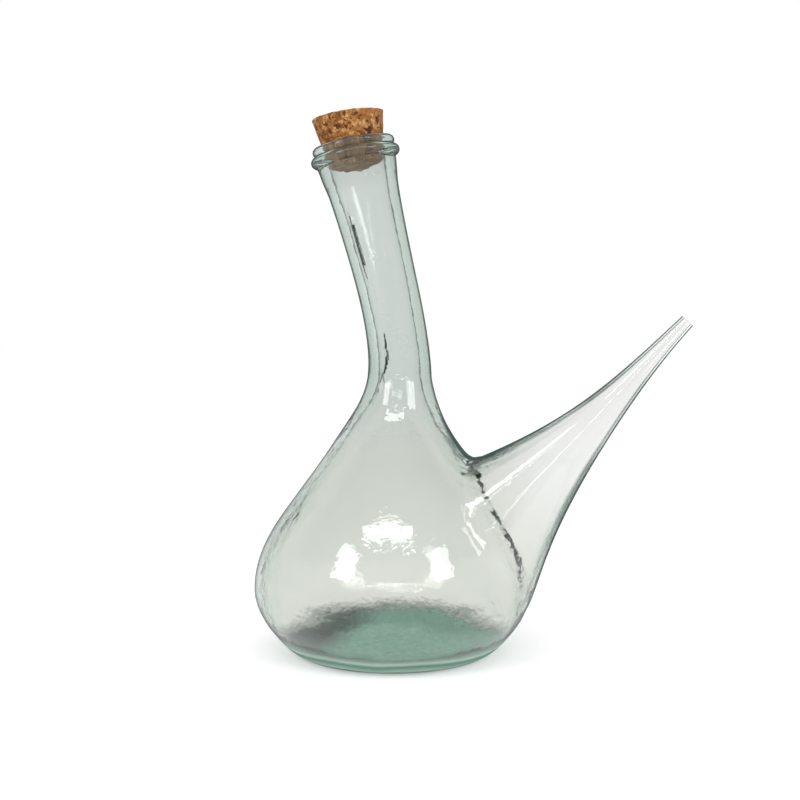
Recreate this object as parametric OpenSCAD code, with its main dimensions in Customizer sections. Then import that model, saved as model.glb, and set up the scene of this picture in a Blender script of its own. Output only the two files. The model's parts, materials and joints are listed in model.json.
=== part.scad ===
// Hand-blown glass oil bottle with a crooked neck, a horn-shaped pouring spout and a cork stopper.
// Frame: +Z up, the origin is on the bulb's axis at the level that the foot stands on,
// and the spout points along +X. Millimetres.

/* [Bulb] */
// Radius of the bulb at its widest
bulb_r = 60.5; // [57:0.5:64]
// Height of the widest part of the bulb
belly_z = 28; // [26:1:31]
// Height where the bulb ends and the neck begins
shoulder_z = 88; // [86:1:91]
// Outside radius of the bulb where the neck begins
shoulder_r = 29.6; // [28:0.2:31]
// Thickness of the bulb's blown wall
bulb_wall = 2.6; // [2:0.1:3.2]
// Height where the belly ends and the narrowing shoulder begins
belly_top = 46; // [42:1:50]

/* [Base] */
// Outside radius of the ring that the bottle stands on
foot_r = 40; // [38:0.5:43]
// Flat width of that ring
foot_w = 4.5; // [3:0.5:7]
// Height of the hollow pushed up under the middle
punt_h = 4; // [2:0.5:6]
// Height of the inside floor above the foot, round the edge
floor_z = 7; // [6:0.5:8.5]
// Extra height of the inside floor in the middle
floor_rise = 3.5; // [2:0.5:5]

/* [Neck] */
// How far the lower neck stands towards the spout
neck_set = 3.2; // [0:0.2:5]
// Height of the narrowest, straight part of the neck
waist_z = 119; // [115:1:123]
// Outside radius there
waist_r = 14.3; // [13.3:0.2:15.9]
// Thickness of the glass there
waist_wall = 5; // [4.4:0.1:5.2]
// How far the mouth stands away from the spout
mouth_back = 15.8; // [12:0.2:20]
// Height of the middle of the neck's top end
mouth_z = 211.4; // [206:0.2:220]
// Lean of the mouth away from the spout, in degrees
mouth_lean = 11; // [5:0.5:15]
// How far the neck's bend is turned out of the spout's plane, in degrees
neck_turn = 20; // [-30:5:30]
// Outside radius of the neck under the lip
neck_top_r = 16; // [15:0.2:16.6]

/* [Lip] */
// Radius of the bore through the lip, at its lower end
lip_bore_r = 12.4; // [12.2:0.1:12.8]
// Outside radius of the wide lower ring
collar_r = 19.4; // [18:0.2:21]
// Height of the wide lower ring
collar_h = 5; // [4:0.5:6]
// Outside radius of the upper ring
rim_r = 17.9; // [17:0.1:19]
// Height of the upper ring
rim_h = 3.8; // [3.4:0.2:5]

/* [Spout] */
// Length of the spout along its axis, from its tip to the end of its flare
spout_len = 132; // [128:1:134]
// Angle of the spout's axis above the table, in degrees
spout_rise = 46.5; // [45:0.5:48]
// Distance of the tip from the bulb's axis
spout_tip_x = 124; // [122:0.5:126]
// Height of the tip
spout_tip_z = 142.8; // [141:0.2:145]
// Outside radius at the tip
spout_tip_r = 2.95; // [2.6:0.05:3.4]
// Outside radius at the end of the flare
spout_root_r = 37.2; // [36.5:0.1:38]
// Thickness of the glass at the tip
spout_tip_wall = 1.1; // [0.8:0.05:1.3]
// Thickness of the glass at the root
spout_root_wall = 2.4; // [2:0.1:3]
// Width of the fused bead round the root
weld_w = 2; // [1.4:0.1:2.6]

/* [Cork] */
// Radius of the cork's top
cork_top_r = 16; // [15:0.5:17]
// Radius of the cork's lower end
cork_end_r = 11.75; // [11:0.05:12]
// Length of the cork
cork_len = 22.7; // [20:0.1:26]
// How far the cork stands out of the mouth
cork_proud = 12.2; // [10:0.1:13]
// Rounding of the cork's edges
cork_edge = 0.8; // [0.4:0.1:1.2]
// Clearance between the cork and the edge of the bore
cork_gap = 0.2; // [0.1:0.05:0.3]

/* [Hidden] */
$fn = 96;

glass_green = [0.72, 0.84, 0.80, 0.45];
base_green = [0.42, 0.66, 0.58, 0.7];
spout_clear = [0.86, 0.90, 0.89, 0.4];
weld_green = [0.20, 0.42, 0.36, 0.8];
cork_brown = [0.72, 0.50, 0.30];

// ---- curves: each outline is one or two cubic curves between its driving dimensions ----

function cubic(p, t) =
    pow(1 - t, 3) * p[0] + 3 * t * pow(1 - t, 2) * p[1] + 3 * t * t * (1 - t) * p[2] + pow(t, 3) * p[3];
function cubic_slope(p, t) =
    pow(1 - t, 2) * (p[1] - p[0]) + 2 * t * (1 - t) * (p[2] - p[1]) + t * t * (p[3] - p[2]);

// Points along a cubic in the plane, moved out to its right-hand side by a distance
function curve(p, steps, out = 0, first = 0) = [
    for (i = [first : steps])
        let (t = i / steps, d = cubic_slope(p, t), side = [d[1], -d[0]] / norm(d))
        cubic(p, t) + out * side
];
function backwards(list) = [for (i = [len(list) - 1 : -1 : 0]) list[i]];

// ---- blown wall: base, belly and shoulder are one skin, parted at level planes ----

foot_flare = 8;
foot_lift = 1.5;
belly_hold = 0.6;
belly_pull = 19;
shoulder_pull = 28;
shoulder_slope = 0.7;
belly_low = [
    [foot_r, 0],
    [foot_r + foot_flare, foot_lift],
    [bulb_r, belly_z * belly_hold],
    [bulb_r, belly_z]
];
belly_high = [
    [bulb_r, belly_z],
    [bulb_r, belly_z + belly_pull],
    [shoulder_r + shoulder_slope * shoulder_pull, shoulder_z - shoulder_pull],
    [shoulder_r, shoulder_z]
];

floor_inset = 2;
floor_r = foot_r - floor_inset;
floor_top = floor_z + floor_rise;
dome_flat = 0.42;
dome_skirt = 0.68;
floor_corner = [
    [floor_r, floor_z],
    [foot_r + foot_flare, floor_z],
    [bulb_r - bulb_wall, belly_z * belly_hold],
    [bulb_r - bulb_wall, belly_z]
];
floor_dome = [
    [0, floor_top],
    [floor_r * dome_flat, floor_top],
    [floor_r * dome_skirt, floor_z],
    [floor_r, floor_z]
];

punt_edge = foot_r - foot_w;
punt_skirt = 0.8;
punt_flat = 0.5;
punt_ease = 0.6;
punt = [
    [punt_edge, 0],
    [punt_edge * punt_skirt, punt_h * punt_ease],
    [punt_edge * punt_flat, punt_h],
    [0, punt_h]
];

over_floor = 1.5;
base_h = floor_top + over_floor;
low_steps = 8;
high_steps = 12;
floor_steps = 6;

// Outline of the outside of the bulb, grown outwards by a distance, down to the table
function bulb_outside(grow) = concat(
    [[0, 0], [foot_r + grow, 0]],
    curve(belly_low, low_steps, grow, 1),
    curve(belly_high, high_steps, grow, 1)
);

module bulb_solid() {
    rotate_extrude() polygon(concat(bulb_outside(0), [[0, shoulder_z]]));
}

// The glass between the outside and the inside, from the foot to the neck
module blown_wall() {
    rotate_extrude() polygon(concat(
        curve(belly_low, low_steps),
        curve(belly_high, high_steps, 0, 1),
        backwards(curve(belly_high, high_steps, -bulb_wall, 1)),
        backwards(curve(floor_corner, low_steps, 0, 1)),
        backwards(curve(floor_dome, floor_steps)),
        backwards(curve(punt, floor_steps, 0, 1)),
        [punt[0]]
    ));
}

// The part of the wall between two heights
module wall_between(low, high) {
    intersection() {
        blown_wall();
        translate([0, 0, low]) cylinder(r = bulb_r + bulb_wall, h = high - low);
    }
}

module base() {
    color(base_green) wall_between(0, base_h);
}

module belly() {
    color(glass_green) difference() {
        wall_between(base_h, belly_top);
        horn_inside();
    }
}

module shoulder() {
    color(glass_green) difference() {
        wall_between(belly_top, shoulder_z + bulb_wall);
        horn_inside();
    }
}

// ---- neck: a tube swept along two cubics of [x, z, outside radius, wall] ----

shoulder_cut = bulb_wall * sqrt(1 + pow(shoulder_slope, 2));
neck_start = 10;
neck_start_set = 0.45;
waist_below = 11;
waist_above = 23;
waist_swell = 1.6;
mouth_run = 25;
mouth_wall = neck_top_r - lip_bore_r;
mouth_thicker = 0.8;
neck_low = [
    [0, shoulder_z, shoulder_r, shoulder_cut],
    [
        neck_set * neck_start_set,
        shoulder_z + neck_start,
        shoulder_r - shoulder_slope * neck_start,
        shoulder_cut
    ],
    [neck_set, waist_z - waist_below, waist_r + waist_swell, waist_wall],
    [neck_set, waist_z, waist_r, waist_wall]
];
neck_high = [
    [neck_set, waist_z, waist_r, waist_wall],
    [neck_set, waist_z + waist_above, waist_r - waist_swell, waist_wall],
    [
        mouth_run * sin(mouth_lean) - mouth_back,
        mouth_z - mouth_run * cos(mouth_lean),
        neck_top_r,
        mouth_wall + mouth_thicker
    ],
    [-mouth_back, mouth_z, neck_top_r, mouth_wall]
];
neck_sides = 36;
neck_low_steps = 9;
neck_high_steps = 14;
neck_settle = 4;

// One ring of the tube, leaning with its run, at a radius
function ring(at, lean, r) = [
    for (k = [0 : neck_sides - 1])
        let (a = 360 * k / neck_sides)
        [at[0] + r * cos(a) * cos(lean), r * sin(a), at[1] - r * cos(a) * sin(lean)]
];
// The rings start level, on the bulb, and lean fully from the ring numbered settle
function tube_rings(p, steps, bore, first, settle) = [
    for (i = [first : steps])
        let (at = cubic(p, i / steps), run = cubic_slope(p, i / steps))
        let (lean = atan2(run[0], run[1]) * min(1, i / settle))
        ring(at, lean, bore ? at[2] - at[3] : at[2])
];
function neck_skin(bore) = concat(
    tube_rings(neck_low, neck_low_steps, bore, 0, neck_settle),
    tube_rings(neck_high, neck_high_steps, bore, 1, 1)
);

module neck() {
    rings = concat(neck_skin(false), backwards(neck_skin(true)));
    count = len(rings);
    points = [for (one = rings) for (p = one) p];
    quads = [
        for (i = [0 : count - 1], k = [0 : neck_sides - 1])
            let (above = (i + 1) % count, turn = (k + 1) % neck_sides)
            [
                i * neck_sides + k,
                i * neck_sides + turn,
                above * neck_sides + turn,
                above * neck_sides + k
            ]
    ];
    triangles = [
        for (q = quads, half = [0, 1])
            half == 0 ? [q[0], q[2], q[1]] : [q[0], q[3], q[2]]
    ];
    color(glass_green) rotate([0, 0, neck_turn]) polyhedron(points, triangles);
}

// ---- lip: two rings of glass round the mouth, turned about the mouth's own axis ----

module at_mouth() {
    rotate([0, 0, neck_turn]) translate([-mouth_back, 0, mouth_z]) rotate([0, -mouth_lean, 0]) children();
}

arc_step = 15;

// The round outer edge of a ring, from its lower face to its upper face
function ring_edge(r, low, high) =
    let (half = (high - low) / 2)
    [for (a = [-90 : arc_step : 90]) [r - half + half * cos(a), low + half + half * sin(a)]];

// The bore widens to follow the cork, from the joint of the two rings up to the mouth's edge
lip_h = collar_h + rim_h;
cork_taper = (cork_top_r - cork_end_r) / cork_len;
mouth_edge_r = cork_top_r - cork_taper * cork_proud + cork_gap;
ring_joint_r = mouth_edge_r - cork_taper * rim_h;

module lip_collar() {
    color(glass_green) at_mouth() rotate_extrude() polygon(concat(
        [[lip_bore_r, 0]],
        ring_edge(collar_r, 0, collar_h),
        [[ring_joint_r, collar_h]]
    ));
}

module lip_rim() {
    color(glass_green) at_mouth() rotate_extrude() polygon(concat(
        [[ring_joint_r, collar_h]],
        ring_edge(rim_r, collar_h, lip_h),
        [[mouth_edge_r, lip_h]]
    ));
}

// ---- spout: a horn turned about its own axis, opening into the bulb ----

spout_mid_wall = (spout_tip_wall + spout_root_wall) / 2;
thin_widening = 2.05;
thin_share = 0.333;
flare_r_share = 0.31;
flare_share = 0.63;
horn = [
    [spout_tip_r, 0, spout_tip_wall],
    [spout_tip_r + thin_widening, spout_len * thin_share, spout_mid_wall],
    [spout_root_r * flare_r_share, spout_len * flare_share, spout_mid_wall],
    [spout_root_r, spout_len, spout_root_wall]
];
horn_steps = 14;
flare_step = 8;
past_tip = 1;

// The spout's axis runs down from its tip into the bulb
module at_spout() {
    translate([spout_tip_x, 0, spout_tip_z]) rotate([0, -90 - spout_rise, 0]) children();
}

// Points down the horn: on its outside, on its bore where inset is 1, or on a skin grown outwards
function horn_outline(inset, grow, first = 0, last = horn_steps) = [
    for (i = [first : last])
        let (at = cubic(horn, i / horn_steps))
        [at[0] - inset * at[2] + grow, at[1]]
];

module horn_inside() {
    bore = horn_outline(1, 0);
    at_spout() rotate_extrude() polygon(concat(
        [[0, -past_tip], [bore[0][0], -past_tip]],
        bore,
        [[0, spout_len]]
    ));
}

module horn_wall(first, last) {
    at_spout() rotate_extrude() polygon(concat(
        horn_outline(0, 0, first, last),
        backwards(horn_outline(1, 0, first, last))
    ));
}

module spout_tube() {
    color(spout_clear) horn_wall(0, flare_step);
}

module spout_flare() {
    color(spout_clear) difference() {
        horn_wall(flare_step, horn_steps);
        bulb_solid();
    }
}

// The bead fills the corner between the horn's skin and the bulb's skin
module spout_weld() {
    color(weld_green) intersection() {
        at_spout() rotate_extrude() polygon(concat(
            horn_outline(0, 0),
            backwards(horn_outline(0, weld_w))
        ));
        rotate_extrude() polygon(concat(
            bulb_outside(0),
            backwards(bulb_outside(weld_w))
        ));
    }
}

// ---- cork: a tapered plug pushed into the mouth ----

module cork() {
    top = lip_h + cork_proud;
    low = top - cork_len;
    round_up = [for (a = [0 : arc_step : 90]) [
        cork_top_r - cork_edge + cork_edge * cos(a),
        top - cork_edge + cork_edge * sin(a)
    ]];
    round_down = [for (a = [-90 : arc_step : 0]) [
        cork_end_r - cork_edge + cork_edge * cos(a),
        low + cork_edge + cork_edge * sin(a)
    ]];
    color(cork_brown) at_mouth() rotate_extrude() polygon(concat(
        [[0, low]],
        round_down,
        round_up,
        [[0, top]]
    ));
}

base();
belly();
shoulder();
neck();
lip_collar();
lip_rim();
spout_flare();
spout_tube();
spout_weld();
cork();
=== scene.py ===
import json
import math

import bpy
from mathutils import Matrix, Vector
from mathutils.bvhtree import BVHTree


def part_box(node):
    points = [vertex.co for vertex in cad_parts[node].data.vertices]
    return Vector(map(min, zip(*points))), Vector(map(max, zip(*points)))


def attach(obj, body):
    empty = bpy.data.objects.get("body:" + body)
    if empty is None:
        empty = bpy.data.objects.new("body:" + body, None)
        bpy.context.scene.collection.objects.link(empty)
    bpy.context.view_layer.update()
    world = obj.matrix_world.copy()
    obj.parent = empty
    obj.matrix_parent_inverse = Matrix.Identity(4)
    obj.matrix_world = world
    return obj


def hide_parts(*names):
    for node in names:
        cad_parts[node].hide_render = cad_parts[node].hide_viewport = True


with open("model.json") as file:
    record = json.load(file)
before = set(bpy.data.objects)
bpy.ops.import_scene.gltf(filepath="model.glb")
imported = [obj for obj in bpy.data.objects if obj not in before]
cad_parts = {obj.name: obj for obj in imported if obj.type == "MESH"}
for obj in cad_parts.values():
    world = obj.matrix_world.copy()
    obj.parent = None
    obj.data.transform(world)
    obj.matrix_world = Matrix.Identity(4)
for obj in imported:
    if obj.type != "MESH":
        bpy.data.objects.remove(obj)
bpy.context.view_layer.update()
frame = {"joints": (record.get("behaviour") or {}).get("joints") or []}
bpy.ops.object.select_all(action="DESELECT")
bpy.context.scene.view_settings.view_transform = "Standard"

# ---- The blown body: bulb, crooked neck and two-ringed lip ----
# One gather of recycled green glass, blown into a low pear with a thick foot, its neck pulled out and
# bent over by hand while hot, and its mouth wound with a broad ring and a narrower rim. It is a single
# wall of glass all the way round, so the outside and the inside are drawn here as one closed skin.

MM = 0.001
SIDES = 144

bulb_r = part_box("belly")[1].y / MM
shoulder_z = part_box("neck")[0].z / MM
pull = next(j for j in frame["joints"] if j["name"] == "cork_pull")
mouth_axis = Vector(pull["axis"]).normalized()
mouth_lean = -math.acos(mouth_axis.z)
neck_turn = math.atan2(-mouth_axis.y, -mouth_axis.x)
collar_low, collar_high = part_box("lip_collar")
collar_middle = (collar_low + collar_high) / 2 / MM
COLLAR_H, RIM_H = 5.0, 3.8
mouth = collar_middle - mouth_axis * COLLAR_H / 2
mouth_x = -math.hypot(mouth.x, mouth.y)
mouth_z = mouth.z


def cubic(points, t):
    """A place on the cubic curve through four points of any length."""
    a, b, c, d = (Vector(p) for p in points)
    return (1 - t) ** 3 * a + 3 * t * (1 - t) ** 2 * b + 3 * t * t * (1 - t) * c + t**3 * d


def cubic_slope(points, t):
    """The way that the curve runs there."""
    a, b, c, d = (Vector(p) for p in points)
    return (1 - t) ** 2 * (b - a) + 2 * t * (1 - t) * (c - b) + t * t * (d - c)


def steps(count, first=1):
    """Even places along a curve, up to its end."""
    return [i / count for i in range(first, count + 1)]


def solid_of_rings(name, rings, sides=SIDES):
    """A closed solid drawn out ring by ring from a filled circle. A ring is (x, z, radius, lean), in
    millimetres and radians, and its middle lies in the XZ plane."""
    x, z, r, lean = rings[0]
    bpy.ops.mesh.primitive_circle_add(
        vertices=sides, radius=r * MM, fill_type="NGON", location=(x * MM, 0, z * MM)
    )
    piece = bpy.context.object
    piece.name = piece.data.name = name
    bpy.ops.object.transform_apply(location=True, rotation=True, scale=True)
    bpy.ops.object.mode_set(mode="EDIT")
    bpy.ops.mesh.select_all(action="SELECT")
    if lean:
        bpy.ops.transform.rotate(value=-lean, orient_axis="Y", center_override=(x * MM, 0, z * MM))
    for new_x, new_z, new_r, new_lean in rings[1:]:
        middle = (new_x * MM, 0, new_z * MM)
        bpy.ops.mesh.extrude_region_move(
            TRANSFORM_OT_translate={"value": ((new_x - x) * MM, 0, (new_z - z) * MM)}
        )
        bpy.ops.transform.resize(value=(new_r / r,) * 3, center_override=middle)
        if new_lean != lean:
            bpy.ops.transform.rotate(value=lean - new_lean, orient_axis="Y", center_override=middle)
        x, z, r, lean = new_x, new_z, new_r, new_lean
    bpy.ops.mesh.select_all(action="SELECT")
    bpy.ops.mesh.normals_make_consistent(inside=False)
    bpy.ops.object.mode_set(mode="OBJECT")
    return piece


BULB_WALL = 2.6
BELLY_Z = 28.0
FOOT_R = 40.0
SHOULDER_R = 29.6
SHOULDER_X = 1.3
FLOOR_EDGE_R = FOOT_R + 3.5
FLOOR_EDGE_Z, FLOOR_TOP_Z = 5.5, 10.5
PUNT_EDGE, PUNT_H = 35.5, 4.0
WAIST = (2.9, 119.0, 14.3, 5.0)

punt = [(0.01, PUNT_H), (17.8, PUNT_H), (28.4, 2.4), (PUNT_EDGE, 0.0)]
belly_low = [(FOOT_R, 0.0), (FOOT_R + 8, 1.5), (bulb_r, BELLY_Z * 0.6), (bulb_r, BELLY_Z)]
belly_high = [
    (bulb_r, BELLY_Z),
    (bulb_r, BELLY_Z + 19),
    (SHOULDER_R + 19.6, shoulder_z - 28),
    (SHOULDER_R, shoulder_z),
]
floor_corner = [
    (FLOOR_EDGE_R, FLOOR_EDGE_Z),
    (FLOOR_EDGE_R + 4, FLOOR_EDGE_Z),
    (bulb_r - BULB_WALL, 15.0),
    (bulb_r - BULB_WALL, BELLY_Z),
]
floor_dome = [
    (0.01, FLOOR_TOP_Z),
    (16.0, FLOOR_TOP_Z),
    (30.0, FLOOR_EDGE_Z),
    (FLOOR_EDGE_R, FLOOR_EDGE_Z),
]
neck_low = [
    (SHOULDER_X, shoulder_z, SHOULDER_R, 3.2),
    (SHOULDER_X + 0.9, shoulder_z + 10, SHOULDER_R - 7.0, 3.2),
    (2.9, 108.0, 15.9, 4.8),
    WAIST,
]
neck_high = [
    WAIST,
    (4.0, 142.0, 12.6, 4.6),
    (mouth_x + 6.0, mouth_z - 27.0, 13.4, 3.6),
    (mouth_x + 0.2, mouth_z, 17.1, 4.7),
]


def lean_of(curve, t):
    """How far the neck leans there."""
    run = cubic_slope(curve, t)
    return math.atan2(run[0], run[1])


def drift(z):
    """How far the bulb's middle has moved towards the spout at a height."""
    s = min(1.0, max(0.0, (z - BELLY_Z) / (shoulder_z - BELLY_Z)))
    return SHOULDER_X * s * s * (3 - 2 * s)


def wall_rings(curve, ts, inset=0.0):
    """Level rings on the bulb, moved inwards from the curve by a wall."""
    rings = []
    for t in ts:
        r, z = cubic(curve, t)
        run = cubic_slope(curve, t).normalized()
        r, z = r - inset * run[1], z + inset * run[0]
        rings.append((drift(z), z, r, 0.0))
    return rings


def neck_rings(curve, ts, bore=False, settle=False):
    """Rings square to the neck, on its skin or its bore, starting level where it settles on the bulb."""
    rings = []
    for t in ts:
        x, z, r, wall = cubic(curve, t)
        lean = lean_of(curve, t) * (min(1.0, t / 0.45) if settle else 1.0)
        rings.append((x, z, r - wall if bore else r, lean))
    return rings


def lip_rings(outline):
    """Rings about the mouth's own axis, from (radius, height above the neck)."""
    return [
        (mouth_x + h * math.sin(mouth_lean), mouth_z + h * math.cos(mouth_lean), r, mouth_lean)
        for r, h in outline
    ]


lip_outside = [
    (17.15, 0.0), (17.7, 0.2), (18.5, 0.7), (19.15, 1.55), (19.35, 2.5), (19.15, 3.45), (18.5, 4.3),
    (17.5, 4.85), (17.0, 5.15), (17.3, 5.5), (17.75, 6.1), (17.85, 6.9), (17.6, 7.8), (16.9, 8.45),
    (15.9, 8.75), (14.9, 8.72), (14.1, 8.4),
]
lip_inside = [(13.62, 7.8), (13.45, 6.9), (13.2, 5.4), (12.95, 3.6), (12.7, 1.8), (12.45, 0.0)]

outside = (
    wall_rings(punt, steps(9))[:-1]
    + [(0, 0.35, 35.2, 0), (0, 0.05, 36.2, 0), (0, 0, 37.6, 0), (0, 0.08, 39.2, 0)]
    + wall_rings(belly_low, steps(11))
    + wall_rings(belly_high, steps(28))
    + neck_rings(neck_low, steps(14), settle=True)
    + neck_rings(neck_high, steps(36))[:-1]
)
inside = (
    neck_rings(neck_high, steps(36), bore=True)[-2::-1]
    + neck_rings(neck_low, steps(14), bore=True, settle=True)[-2::-1]
    + wall_rings(belly_high, steps(28), BULB_WALL)[::-1]
    + wall_rings(floor_corner, steps(11))[::-1]
    + wall_rings(floor_dome, steps(9))[::-1]
)
outside_rings = len(outside) + len(lip_outside)
rings = outside + lip_rings(lip_outside + lip_inside) + inside
vessel = solid_of_rings("vessel", rings)


def ripple(piece, name, ring_numbers, depth, size, stretch, seed):
    """Uneven hand-blown skin: push the vertices of some rings inwards by up to a depth, in waves."""
    group = piece.vertex_groups.new(name=name)
    for i, strength in ring_numbers:
        group.add(list(range(i * SIDES, (i + 1) * SIDES)), strength, "REPLACE")
    waves = bpy.data.textures.new(name, "CLOUDS")
    waves.noise_scale = size
    waves.noise_depth = 1
    grid = bpy.data.objects.new(name + "_grid", None)
    bpy.context.collection.objects.link(grid)
    grid.location = (seed, seed * 2, seed * 3)
    grid.scale = (1, 1, stretch)
    bpy.context.view_layer.update()
    push = piece.modifiers.new(name, "DISPLACE")
    push.texture, push.vertex_group = waves, name
    push.texture_coords, push.texture_coords_object = "OBJECT", grid
    push.strength, push.mid_level = depth, 1.0
    bpy.context.view_layer.objects.active = piece
    bpy.ops.object.modifier_apply(modifier=name)
    bpy.data.objects.remove(grid)


def ring_strengths(numbers, low, high):
    """Full waves between two heights in millimetres, fading out over the last few."""
    picked = []
    for i in numbers:
        z = rings[i][1]
        fade = min(1.0, max(0.0, (z - low) / 6)) * min(1.0, max(0.0, (high - z) / 6))
        if fade > 0:
            picked.append((i, fade))
    return picked


outer_numbers = range(0, outside_rings)
CALM_FLOOR_RINGS = 8
inner_numbers = range(outside_rings + len(lip_inside), len(rings) - CALM_FLOOR_RINGS)
ripple(vessel, "outside_waves", ring_strengths(outer_numbers, 3, 206), 0.0007, 0.026, 2.2, 0.31)
ripple(vessel, "inside_waves", ring_strengths(inner_numbers, 2, 200), -0.0004, 0.024, 2.6, 0.77)


FOLD_DEPTH = 0.0023
FOLD_WIDTH = 0.9


def fold(piece, places):
    """A fold line in the bore: a narrow groove pressed into the wall, fading at both ends. Places are
    (height in millimetres, number of the vertex round the ring), and its width is in vertices."""
    high, low = places[0][0], places[-1][0]
    for i in inner_numbers:
        x, z = rings[i][:2]
        if not high >= z >= low:
            continue
        for (z1, k1), (z2, k2) in zip(places, places[1:]):
            if z1 >= z >= z2:
                k = k1 + (k2 - k1) * (z1 - z) / (z1 - z2)
        ends = min(1.0, (high - z) / 4, (z - low) / 4)
        middle = Vector((x * MM, 0, z * MM))
        for near in range(round(k) - 4, round(k) + 5):
            vertex = piece.data.vertices[i * SIDES + near]
            press = FOLD_DEPTH * ends * math.exp(-(((near - k) / FOLD_WIDTH) ** 2))
            vertex.co += (vertex.co - middle).normalized() * press


fold(vessel, [(190, 52.5), (163, 52.5)])
fold(vessel, [(139, 58.0), (125, 57.0), (112, 50.0)])

# ---- The spout ----
# A long thin horn of clearer glass, drawn out hot and fused over a hole in the bulb's side. It belongs
# to the same closed skin as the bulb, so the two are united here and the seam is melted smooth.

spout_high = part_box("spout_tube")[1]
SPOUT_RISE = math.radians(46.5)
TIP_R = 2.95
SAG, SAG_LENGTH = 1.2, 120
tip_x = spout_high.x / MM - TIP_R * math.sin(SPOUT_RISE)
tip_z = spout_high.z / MM - TIP_R * math.cos(SPOUT_RISE)
horn = [(TIP_R, 0.0, 1.0), (5.0, 44.0, 1.0), (11.53, 83.2, 0.9), (37.2, 132.0, 2.0)]


def horn_rings(inset=0.0, first=0.0, count=44):
    """Rings down the horn from its tip, on its outside or, a whole wall in, on its bore."""
    rings = []
    for t in steps(count, 0):
        r, s, wall = cubic(horn, t)
        if t == 0:
            s = first
        sag = SAG * math.sin(math.pi * min(1.0, s / SAG_LENGTH)) ** 2
        rings.append(
            (
                tip_x - s * math.cos(SPOUT_RISE) + sag * math.sin(SPOUT_RISE),
                tip_z - s * math.sin(SPOUT_RISE) - sag * math.cos(SPOUT_RISE),
                r - inset * wall,
                math.pi / 2 - SPOUT_RISE,
            )
        )
    return rings


def combine(piece, tool, operation):
    """Cut one closed solid with another or join them, then put the tool away."""
    cut = piece.modifiers.new("cut", "BOOLEAN")
    cut.object, cut.operation, cut.solver = tool, operation, "EXACT"
    bpy.context.view_layer.objects.active = piece
    bpy.ops.object.modifier_apply(modifier="cut")
    bpy.data.objects.remove(tool)


def turn(piece, angle):
    """Turn a mesh about the bulb's axis."""
    piece.data.transform(Matrix.Rotation(angle, 4, "Z"))


def bulb_core(inset):
    """The bulb's shape a little inside its skin, where the horn is cut off."""
    return (
        [(0, inset, 30.0, 0)]
        + wall_rings(belly_low, steps(11), inset)
        + wall_rings(belly_high, steps(28), inset)
    )


turn(vessel, neck_turn)
core = solid_of_rings("core", bulb_core(BULB_WALL / 2))
spout = solid_of_rings("spout_horn", horn_rings())
bore = solid_of_rings("bore", horn_rings(inset=1.0, first=-1.0))
bulb_tree = BVHTree.FromObject(core, bpy.context.evaluated_depsgraph_get())
horn_tree = BVHTree.FromObject(spout, bpy.context.evaluated_depsgraph_get())
combine(spout, core, "DIFFERENCE")
combine(vessel, spout, "UNION")
combine(vessel, bore, "DIFFERENCE")


def pick_seam(mesh, reach):
    """Select the vertices that lie near both the bulb's wall and the horn's skin."""
    for v in mesh.vertices:
        near = v.co.x > 0.02 and 0.012 < v.co.z < 0.1
        near = near and bulb_tree.find_nearest(v.co, reach)[0] is not None
        near = near and horn_tree.find_nearest(v.co, reach)[0] is not None
        v.select = near


def soften_seam(piece, reach, cuts, passes):
    """Melt the joint: cut its faces finer, then let the surface run smooth."""
    bpy.ops.object.select_all(action="DESELECT")
    piece.select_set(True)
    bpy.context.view_layer.objects.active = piece
    bpy.ops.object.mode_set(mode="EDIT")
    bpy.ops.mesh.select_all(action="DESELECT")
    bpy.ops.mesh.select_mode(type="VERT")
    bpy.ops.object.mode_set(mode="OBJECT")
    pick_seam(piece.data, reach)
    bpy.ops.object.mode_set(mode="EDIT")
    if cuts:
        bpy.ops.mesh.quads_convert_to_tris(quad_method="BEAUTY", ngon_method="BEAUTY")
        bpy.ops.mesh.remove_doubles(threshold=0.0003)
        bpy.ops.mesh.subdivide(number_cuts=cuts)
        bpy.ops.mesh.quads_convert_to_tris(quad_method="BEAUTY", ngon_method="BEAUTY")
        bpy.ops.mesh.beautify_fill()
    bpy.ops.mesh.vertices_smooth(factor=0.5, repeat=passes)
    bpy.ops.object.mode_set(mode="OBJECT")


soften_seam(vessel, 0.0065, 1, 10)
soften_seam(vessel, 0.0050, 0, 30)

bpy.ops.object.shade_smooth_by_angle(angle=math.radians(50))


def added(tree, kind, values, **settings):
    """A new node in a material. Each value goes in a socket: a number or a colour is set there, and
    another node's output is linked to it."""
    node = tree.nodes.new("ShaderNode" + kind)
    for name, setting in settings.items():
        setattr(node, name, setting)
    for socket, value in values.items():
        if isinstance(value, bpy.types.NodeSocket):
            tree.links.new(value, node.inputs[socket])
        else:
            node.inputs[socket].default_value = value
    return node


def ramped(tree, value, low, high, start=0.0, end=1.0):
    """A straight change from start to end between two values, level beyond them."""
    limits = {"From Min": low, "From Max": high, "To Min": start, "To Max": end}
    return added(tree, "MapRange", {"Value": value, **limits}).outputs["Result"]


def maths(tree, operation, *terms):
    """The outcome of a sum on numbers or other nodes' outputs."""
    return added(tree, "Math", dict(enumerate(terms)), operation=operation).outputs["Value"]


def away_from(tree, position, point):
    """The distance of a place from a point, in metres."""
    node = added(tree, "VectorMath", {0: position, 1: point}, operation="DISTANCE")
    return node.outputs["Value"]


def coloured(tree, value, stops):
    """A colour picked by a value, from stops of (value, colour) in rising order."""
    node = added(tree, "ValToRGB", {"Fac": value})
    elements = node.color_ramp.elements
    for element, (at, colour) in zip(elements, (stops[0], stops[-1])):
        element.position, element.color = at, (*colour, 1)
    for at, colour in stops[1:-1]:
        elements.new(at).color = (*colour, 1)
    return node.outputs["Color"]


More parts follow.
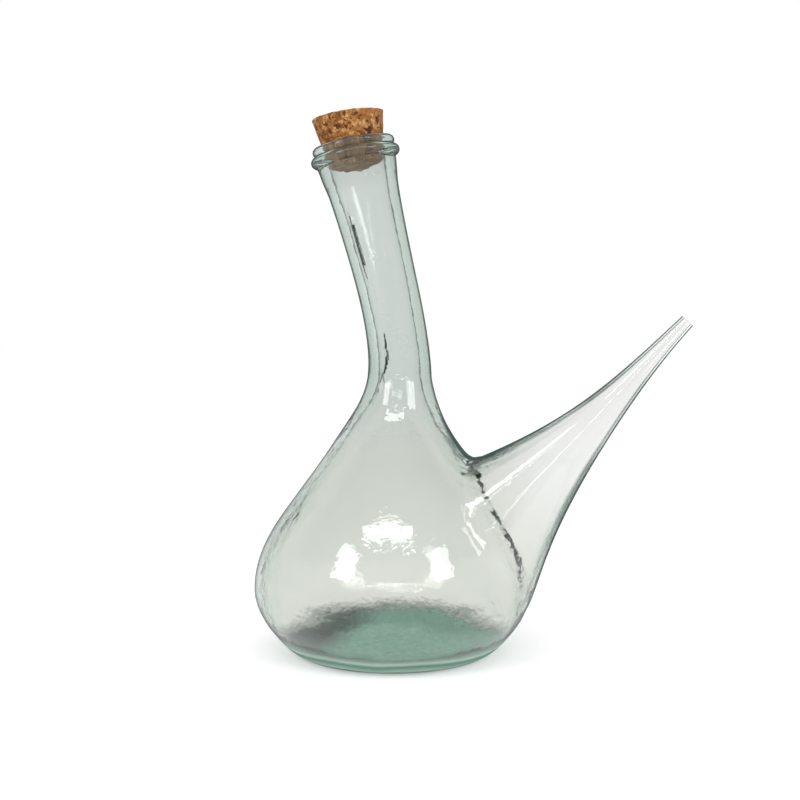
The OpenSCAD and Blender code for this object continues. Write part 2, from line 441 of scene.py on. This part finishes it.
def mixed(tree, share, first, second, blend="MIX"):
    """Two colours laid together, with a share of the second."""
    values = {"Fac": share, "Color1": first, "Color2": second}
    return added(tree, "MixRGB", values, blend_type=blend).outputs["Color"]


def mixed_skins(tree, share, first, second):
    """Two surfaces laid together, with a share of the second."""
    return added(tree, "MixShader", {"Fac": share, 1: first, 2: second}).outputs["Shader"]


def noise(tree, position, scale, detail):
    return added(tree, "TexNoise", {"Vector": position, "Scale": scale, "Detail": detail})


def bumped(tree, height, distance, **more):
    return added(tree, "Bump", {"Height": height, "Distance": distance, **more}).outputs["Normal"]


def diffuse(tree, colour):
    return added(tree, "BsdfDiffuse", {"Color": colour}).outputs["BSDF"]


glass = bpy.data.materials.new("green_bottle_glass")
glass.use_nodes = True
tree = glass.node_tree
shader = tree.nodes["Principled BSDF"]
output = tree.nodes["Material Output"]
shader.inputs["Transmission Weight"].default_value = 1.0
shader.inputs["IOR"].default_value = 1.52
shader.inputs["Roughness"].default_value = 0.0
tint = added(tree, "VolumeAbsorption", {"Color": (0.34, 0.50, 0.42, 1.0), "Density": 78.0})
tree.links.new(tint.outputs["Volume"], output.inputs["Volume"])

# Places on the bottle, in metres: the height, the way to the spout and the reach from the bulb's axis.
place = added(tree, "TexCoord", {}).outputs["Object"]
parted = added(tree, "SeparateXYZ", {"Vector": place})
height, spoutward = parted.outputs["Z"], parted.outputs["X"]
flat_place = added(tree, "VectorMath", {0: place, 1: (1.0, 1.0, 0.0)}, operation="MULTIPLY")
from_axis = added(tree, "VectorMath", {0: flat_place.outputs["Vector"]}, operation="LENGTH")
from_axis = from_axis.outputs["Value"]

# Glass seen edge on is painted a deep bottle green: painted shade standing in for the dark that glass
# bends into view in a room with dark corners, which the pale room here doesn't have. The neck, the
# spout and the top of the joint get a wider painted dark edge than the bulb.
POOL_PLACE = (0.044, 0.0, 0.083)
BULB_PLACE = (0.0, 0.0, 0.030)
from_pool = away_from(tree, place, POOL_PLACE)
pool_edge = ramped(tree, from_pool, 0.004, 0.055, 0.27, 0.0)
neck_edge = ramped(tree, height, 0.085, 0.115, 0.0, 0.15)
edge = added(tree, "LayerWeight", {"Blend": 0.5}).outputs["Facing"]
edge = maths(tree, "ADD", edge, maths(tree, "MAXIMUM", pool_edge, neck_edge))
painted_edge_shade = coloured(tree, edge, [(0.50, (1, 1, 1)), (0.76, (0.74, 0.84, 0.79)), (0.90, (0.04, 0.11, 0.08))])
# Painted shade: the glass of the bulb is painted a little greyer than the glass farther from its middle.
from_bulb = ramped(tree, away_from(tree, place, BULB_PLACE), 0.058, 0.092)
painted_bulb_grey = mixed(tree, from_bulb, (0.87, 0.865, 0.84, 1), (0.95, 0.94, 0.94, 1))
painted_glass_shade = mixed(tree, 1.0, painted_bulb_grey, painted_edge_shade, "MULTIPLY")
spout_edge = ramped(tree, spoutward, 0.055, 0.085, 0.0, 0.20)
pool_core = ramped(tree, from_pool, 0.001, 0.009, 0.60, 0.0)
outline = maths(tree, "ADD", edge, maths(tree, "MAXIMUM", spout_edge, pool_core))
outline_share = ramped(tree, outline, 0.77, 0.95, 0.0, 0.88)
# Where the painted edge is strongest, a dark green matt skin is laid over the glass as painted shade.
bare_skin = mixed_skins(tree, outline_share, shader.outputs["BSDF"], diffuse(tree, (0.018, 0.05, 0.04, 1)))

# The thick floor is cloudy, pebbled and teal. Most of it is laid over with a matt green skin, painted
# darkest on the side away from the spout: painted light and shade standing in for what the thick glass
# bends into view.
FOOT_TOP = 0.0046
floor_mask = maths(
    tree, "MULTIPLY", ramped(tree, height, 0.0125, 0.0110), ramped(tree, from_axis, 0.0480, 0.0440)
)
inner_floor = maths(tree, "MULTIPLY", floor_mask, maths(tree, "GREATER_THAN", height, FOOT_TOP))
pebbles = noise(tree, place, 420, 2.0).outputs["Fac"]
cloud = noise(tree, place, 38, 1.5).outputs["Fac"]
teal = coloured(tree, cloud, [(0.36, (0.20, 0.42, 0.33)), (0.62, (0.34, 0.78, 0.62))])
teal_and_painted_shade = mixed(tree, inner_floor, painted_glass_shade, teal, "MULTIPLY")
tree.links.new(teal_and_painted_shade, shader.inputs["Base Color"])
floor_side = ramped(tree, spoutward, -0.030, -0.012)
floor_green = mixed(tree, floor_side, (0.03, 0.07, 0.05, 1), (0.33, 0.66, 0.54, 1))
floor_skin = diffuse(tree, mixed(tree, 0.6, floor_green, pebbles, "OVERLAY"))
floor_share = maths(tree, "MULTIPLY", inner_floor, 0.74)
floored = mixed_skins(tree, floor_share, bare_skin, floor_skin)

# The ring that it stands on is thick, and a matt skin with bands of dark and pale green round it is
# laid over it: painted light and shade standing in for what the thick glass bends into view. Only its
# outer skin gets the bands, so the corner inside is left out.
foot_share = maths(
    tree,
    "MULTIPLY",
    ramped(tree, height, 0.0105, 0.0060, 0.0, 0.72),
    ramped(tree, from_axis, 0.0380, 0.0460),
)
outer_skin = maths(tree, "GREATER_THAN", maths(tree, "MULTIPLY_ADD", height, -0.9, from_axis), 0.042)
foot_only = maths(tree, "MAXIMUM", outer_skin, maths(tree, "LESS_THAN", height, FOOT_TOP))
foot_share = maths(tree, "MULTIPLY", foot_share, foot_only)
foot_place = maths(tree, "MULTIPLY_ADD", cloud, 0.0025, height)
foot_bands = [
    (0.04, (0.02, 0.07, 0.05)),
    (0.14, (0.07, 0.17, 0.13)),
    (0.22, (0.48, 0.62, 0.54)),
    (0.32, (0.24, 0.42, 0.33)),
    (0.42, (0.12, 0.25, 0.19)),
    (0.54, (0.50, 0.63, 0.55)),
    (0.66, (0.32, 0.47, 0.39)),
    (1.0, (0.66, 0.74, 0.68)),
]
foot_skin = diffuse(tree, coloured(tree, ramped(tree, foot_place, 0.0, 0.014), foot_bands))
tree.links.new(mixed_skins(tree, foot_share, floored, foot_skin), output.inputs["Surface"])

# The skin swells and peels a little all over, less on the drawn spout, and the floor is pebbled.
calm = ramped(tree, spoutward, 0.055, 0.085, 1.0, 0.08)
swell = noise(tree, place, 60, 1.0).outputs["Fac"]
peel = noise(tree, place, 230, 2.0).outputs["Fac"]
pebble_height = maths(tree, "MULTIPLY", pebbles, inner_floor)
skin = bumped(tree, swell, 0.00025, Strength=calm)
skin = bumped(tree, peel, 0.00011, Strength=calm, Normal=skin)
skin = bumped(tree, pebble_height, 0.0003, Normal=skin)
tree.links.new(skin, shader.inputs["Normal"])
vessel.data.materials.clear()
vessel.data.materials.append(glass)

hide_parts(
    "base",
    "belly",
    "shoulder",
    "neck",
    "lip_collar",
    "lip_rim",
    "spout_flare",
    "spout_tube",
    "spout_weld",
)
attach(vessel, "vessel")

# ---- The cork ----
# A tapered stopper pressed from cork granules. Its sides wedge in the ringed mouth, and it pulls out
# along the mouth's axis. The top was cut a little out of square and its edges are worn.

CORK_SIDES = 128
CORK_TOP_R, CORK_END_R, CORK_LEN, CORK_PROUD = 16.0, 11.75, 22.7, 12.2
CORK_ASKEW = math.radians(2.2)
CORK_CLEAR = 0.08
cork_foot = COLLAR_H + RIM_H + CORK_PROUD - CORK_LEN


def cork_ring(r, h, askew=0.0):
    """A ring about the mouth's own axis, leaning a little more where the cork is out of square."""
    x = mouth_x + h * math.sin(mouth_lean)
    z = mouth_z + h * math.cos(mouth_lean)
    return (x, z, r, mouth_lean + askew)


cork_rings = [cork_ring(CORK_END_R * i / 12, cork_foot + 0.15) for i in range(1, 12)]
cork_rings.append(cork_ring(CORK_END_R - 0.6, cork_foot + 0.25))
for i in range(31):
    h = 0.7 + (CORK_LEN - 1.9) * i / 30
    r = CORK_END_R + (CORK_TOP_R - CORK_END_R) * h / CORK_LEN
    cork_rings.append(cork_ring(r - CORK_CLEAR, cork_foot + h, CORK_ASKEW * (i / 30) ** 3))
top = cork_foot + CORK_LEN - 0.75
cork_rings.append(cork_ring(CORK_TOP_R - 0.45, top - 0.1, CORK_ASKEW))
cork_rings.append(cork_ring(CORK_TOP_R - 1.1, top, CORK_ASKEW))
cork_rings += [cork_ring(CORK_TOP_R * i / 16, top, CORK_ASKEW) for i in range(14, 0, -1)]
cork = solid_of_rings("cork_stopper", cork_rings, CORK_SIDES)
turn(cork, neck_turn)


def crumble(piece, name, kind, depth, size):
    """Press the whole surface in by up to a depth, in lumps of a size."""
    lumps = bpy.data.textures.new(name, kind)
    lumps.noise_scale = size
    press = piece.modifiers.new(name, "DISPLACE")
    press.texture, press.texture_coords = lumps, "LOCAL"
    press.strength, press.mid_level = depth, 1.0
    bpy.context.view_layer.objects.active = piece
    bpy.ops.object.modifier_apply(modifier=name)


crumble(cork, "granules", "VORONOI", 0.00028, 0.0022)
crumble(cork, "wear", "CLOUDS", 0.0003, 0.006)
bpy.ops.object.select_all(action="DESELECT")
cork.select_set(True)
bpy.ops.object.shade_smooth_by_angle(angle=math.radians(60))

cork_brown = bpy.data.materials.new("pressed_cork")
cork_brown.use_nodes = True
tree = cork_brown.node_tree
shader = tree.nodes["Principled BSDF"]
shader.inputs["Specular IOR Level"].default_value = 0.25
place = added(tree, "TexCoord", {}).outputs["Object"]

# Granules of several browns with pits between them. The end in the neck is painted a little paler, as
# painted light where it shows through the glass.
GRAINS = 620
warp = noise(tree, place, 260, 3).outputs["Color"]
bent = mixed(tree, 0.0022, place, warp, "LINEAR_LIGHT")
grains = added(tree, "TexVoronoi", {"Vector": bent, "Scale": GRAINS}).outputs["Color"]
pits = added(tree, "TexVoronoi", {"Vector": bent, "Scale": GRAINS}, feature="DISTANCE_TO_EDGE")
fine = noise(tree, place, 900, 5).outputs["Fac"]
grain_browns = [
    (0.0, (0.07, 0.018, 0.004)),
    (0.18, (0.17, 0.056, 0.013)),
    (0.35, (0.28, 0.115, 0.028)),
    (0.75, (0.35, 0.155, 0.045)),
    (1.0, (0.52, 0.28, 0.11)),
]
grain_number = added(tree, "SeparateColor", {"Color": grains}).outputs["Red"]
fine_shade = coloured(tree, fine, [(0.38, (0.45, 0.38, 0.32)), (0.62, (1.0, 1.0, 1.0))])
speckled = mixed(tree, 0.8, coloured(tree, grain_number, grain_browns), fine_shade, "MULTIPLY")
cork_height = added(tree, "SeparateXYZ", {"Vector": place}).outputs["Z"]
in_neck = ramped(tree, cork_height, mouth.z * MM + 0.010, mouth.z * MM - 0.002)
brown = mixed(tree, in_neck, speckled, (0.12, 0.082, 0.032, 1), "ADD")
tree.links.new(brown, shader.inputs["Base Color"])
tree.links.new(ramped(tree, fine, 0.0, 1.0, 0.7, 0.95), shader.inputs["Roughness"])
skin = bumped(tree, pits.outputs["Distance"], 0.0004, Strength=0.6)
skin = bumped(tree, fine, 0.0003, Strength=0.7, Normal=skin)
tree.links.new(skin, shader.inputs["Normal"])
cork.data.materials.clear()
cork.data.materials.append(cork_brown)
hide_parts("cork")
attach(cork, "stopper")

# ---- The table, the light and the camera ----
# A wide pale table that glows a little, under an even white room with two tall windows, one high one
# and two thin bright bars. The table and the room are equally bright, so no edge shows between them.

TABLE_GLOW = 0.38
TABLE_PALE = 1 - TABLE_GLOW
bpy.ops.mesh.primitive_plane_add(size=400, location=(0, 0, 0))
floor = bpy.context.object
floor.name = "floor"
pale = bpy.data.materials.new("pale_light_table")
pale.use_nodes = True
table = pale.node_tree.nodes["Principled BSDF"]
table.inputs["Base Color"].default_value = (TABLE_PALE, TABLE_PALE, TABLE_PALE, 1)
table.inputs["Roughness"].default_value = 1.0
table.inputs["Specular IOR Level"].default_value = 0.0
table.inputs["Emission Color"].default_value = (1, 1, 1, 1)
table.inputs["Emission Strength"].default_value = TABLE_GLOW
floor.data.materials.append(pale)

world = bpy.data.worlds.new("studio")
bpy.context.scene.world = world
world.use_nodes = True
world.node_tree.nodes["Background"].inputs["Color"].default_value = (1, 1, 1, 1)
world.node_tree.nodes["Background"].inputs["Strength"].default_value = 1.0


LIGHT_AIM = Vector((0.01, 0.0, 0.055))


def soft_light(name, turn_deg, rise_deg, distance, width, tall, radiance):
    """A rectangular soft light aimed at the bulb, given by how bright its face looks."""
    turn_rad, rise_rad = math.radians(turn_deg), math.radians(rise_deg)
    way = Vector(
        (
            math.sin(turn_rad) * math.cos(rise_rad),
            -math.cos(turn_rad) * math.cos(rise_rad),
            math.sin(rise_rad),
        )
    )
    bpy.ops.object.light_add(type="AREA", location=LIGHT_AIM + distance * way)
    lamp = bpy.context.object
    lamp.name = name
    lamp.data.shape = "RECTANGLE"
    lamp.data.size, lamp.data.size_y = width, tall
    lamp.data.energy = radiance * width * tall * math.pi
    lamp.rotation_euler = (-way).to_track_quat("-Z", "Y").to_euler()


soft_light("left_window", -33, 32, 1.3, 0.36, 0.54, 7)
soft_light("right_window", 56, 32, 1.3, 0.42, 0.54, 7)
soft_light("top_window", 4, 54.5, 1.2, 0.80, 0.10, 8)
soft_light("upper_bar", 13, 48, 1.2, 0.75, 0.012, 10)
soft_light("lower_bar", 13, 18, 1.2, 0.85, 0.012, 14)

VIEW_TURN = math.radians(13)
VIEW_DISTANCE = 0.5
VIEW_SIDE = 0.003
VIEW_HEIGHT = 0.131
bpy.ops.object.camera_add(
    location=(
        VIEW_DISTANCE * math.sin(VIEW_TURN) + VIEW_SIDE * math.cos(VIEW_TURN),
        -VIEW_DISTANCE * math.cos(VIEW_TURN) + VIEW_SIDE * math.sin(VIEW_TURN),
        VIEW_HEIGHT,
    ),
    rotation=(math.radians(87.5), 0, VIEW_TURN),
)
camera = bpy.context.object
camera.data.lens = 51.75
bpy.context.scene.camera = camera
